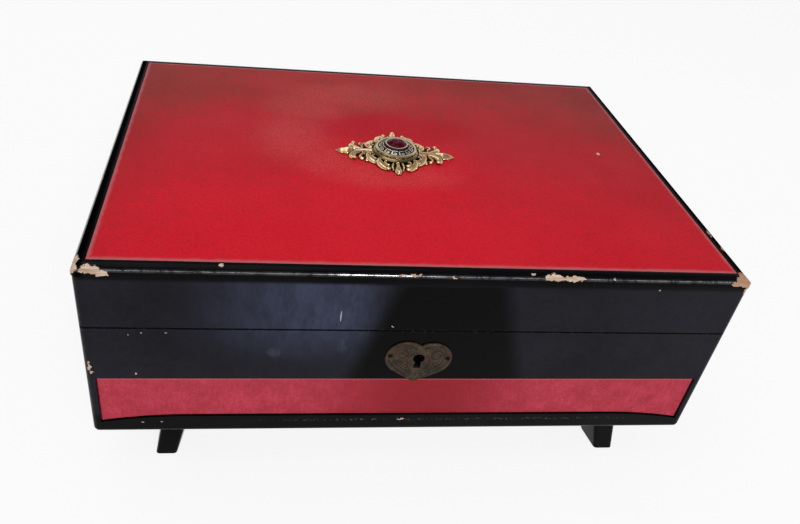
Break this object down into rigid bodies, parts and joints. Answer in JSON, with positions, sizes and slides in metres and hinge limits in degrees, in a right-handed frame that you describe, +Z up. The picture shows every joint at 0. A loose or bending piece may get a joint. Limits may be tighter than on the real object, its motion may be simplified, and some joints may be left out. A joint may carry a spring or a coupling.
{
  "type": "jewelry box",
  "caption": "Rectangular lacquered jewelry box on splayed feet with a hinged lid, inlaid red panels, a heart keyhole plate, a lock, a gilt ornament, and a velvet interior with a mirror.",
  "frame": {"origin": "centre of the case in plan, on the plane the feet stand on", "axes": "+X to the right seen from the front, +Y to the back where the hinges are, +Z up"},
  "size_m": [0.2606, 0.1858, 0.1164],
  "materials": {
    "black_lacquer": "glossy black lacquer over wood, worn to bare wood at the edges",
    "plain_board": "plain stained plywood",
    "red_leatherette": "red leatherette with a fine grain, satin",
    "old_brass": "darkened antique brass",
    "gilt": "antique gold with dark recesses",
    "red_glass": "faceted dark red glass",
    "lock_steel": "plain pressed steel",
    "hinge_brass": "brass, lightly tarnished",
    "velvet": "deep red velvet over card or foam",
    "mirror_glass": "bevelled silvered glass"
  },
  "bodies": {
    "case": {"front_board": "black_lacquer", "back_board": "black_lacquer", "left_board": "black_lacquer", "right_board": "black_lacquer", "foot_front_left": "black_lacquer", "foot_front_right": "black_lacquer", "foot_rear_left": "black_lacquer", "foot_rear_right": "black_lacquer", "bottom_panel": "plain_board", "front_band": "red_leatherette", "heart_plate": "old_brass", "heart_pins": "old_brass", "lock_plate": "lock_steel", "lock_cap": "lock_steel", "lock_post": "lock_steel", "lock_spring": "lock_steel", "foot_screws": "lock_steel", "lock_screws": "lock_steel", "hinge_left_case_leaf": "hinge_brass", "hinge_right_case_leaf": "hinge_brass", "hinge_left_pin": "hinge_brass", "hinge_right_pin": "hinge_brass", "hinge_case_screws": "hinge_brass", "floor_lining": "velvet", "left_lining": "velvet", "right_lining": "velvet", "front_lining": "velvet", "back_lining": "velvet", "cross_divider": "velvet", "long_divider": "velvet", "ring_rolls": "velvet"},
    "lid": {"lid_top_board": "black_lacquer", "lid_front_rail": "black_lacquer", "lid_back_rail": "black_lacquer", "lid_left_rail": "black_lacquer", "lid_right_rail": "black_lacquer", "lid_panel": "red_leatherette", "lid_lining": "velvet", "mirror": "mirror_glass", "ornament_mount": "gilt", "ornament_ring": "gilt", "ornament_stone": "red_glass", "ornament_pins": "gilt", "strike_plate": "lock_steel", "strike_screws": "lock_steel", "hinge_left_lid_leaf": "hinge_brass", "hinge_right_lid_leaf": "hinge_brass", "hinge_lid_screws": "hinge_brass"},
    "lock_bolt": {"lock_bolt": "lock_steel"}
  },
  "joints": [
    {"name": "lid_hinge", "type": "hinge", "parent": "case", "child": "lid", "pos_m": [0, 0.0898, 0.0806], "axis": [-1, 0, 0], "range_deg": [0, 98]},
    {"name": "bolt_slide", "type": "slide", "parent": "case", "child": "lock_bolt", "axis": [1, 0, 0], "range_m": [0, 0.005]}
  ]
}
